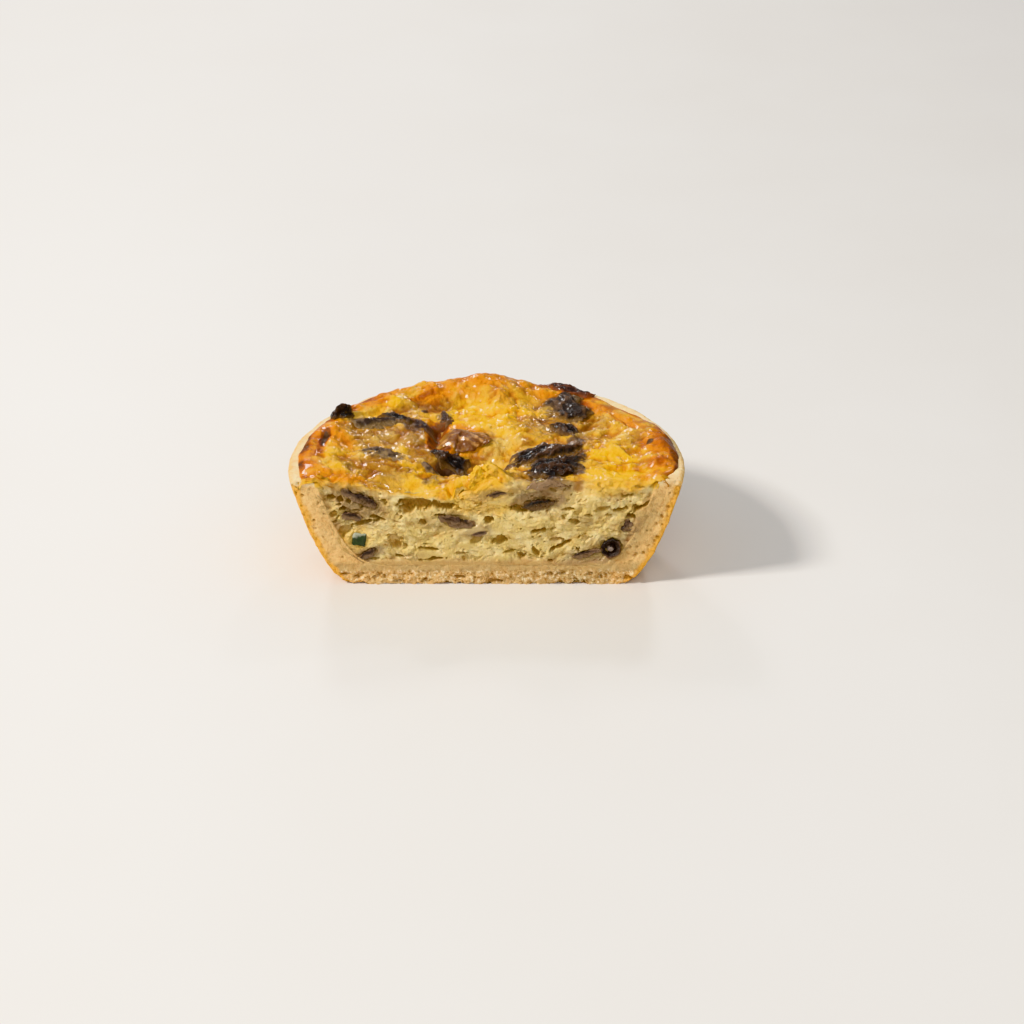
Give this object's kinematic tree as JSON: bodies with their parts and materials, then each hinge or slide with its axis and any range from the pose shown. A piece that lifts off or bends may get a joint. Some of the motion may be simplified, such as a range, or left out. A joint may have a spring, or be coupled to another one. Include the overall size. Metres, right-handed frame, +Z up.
{
  "type": "quiche",
  "caption": "Small deep mushroom quiche in a shortcrust case, cut across so that the custard filling shows under the browned cheese.",
  "frame": {"origin": "on the round case's axis, in the flat underside that the quiche rests on", "axes": "+X to the right along the cut face, +Y from the open cut face back into the quiche, +Z up"},
  "size_m": [0.1057, 0.0642, 0.0357],
  "materials": {
    "pastry": "dry baked shortcrust, golden outside and pale at the cut",
    "custard": "moist set custard",
    "cheese": "melted, browned and glossy",
    "mushroom": "dark, cooked and moist",
    "courgette": "dark green skin, cooked"
  },
  "bodies": {
    "root": {"pastry_case": "pastry", "custard": "custard", "cheese_top": "cheese", "courgette_cube": "courgette", "mushroom_cut_stalk": "mushroom", "mushroom_cut_left_long": "mushroom", "mushroom_cut_left_pale": "mushroom", "mushroom_cut_left_low": "mushroom", "mushroom_cut_middle": "mushroom", "mushroom_cut_middle_crumb": "mushroom", "mushroom_cut_upper_sliver": "mushroom", "mushroom_cut_dark_wedge": "mushroom", "mushroom_cut_right_bean": "mushroom", "mushroom_cut_right_shadow": "mushroom", "mushroom_top_rim_knob": "mushroom", "mushroom_top_left_slab": "mushroom", "mushroom_top_left_strip": "mushroom", "mushroom_top_left_ridge": "mushroom", "mushroom_top_back_fold": "mushroom", "mushroom_top_caramel_slice": "mushroom", "mushroom_top_black_curl": "mushroom", "mushroom_top_middle_crumb": "mushroom", "mushroom_top_front_strip": "mushroom", "mushroom_top_rim_slab": "mushroom", "mushroom_top_grey_cap": "mushroom", "mushroom_top_wet_strip": "mushroom", "mushroom_top_dark_crest": "mushroom", "mushroom_top_dark_fold": "mushroom", "mushroom_top_cut_edge": "mushroom"}
  },
  "joints": []
}
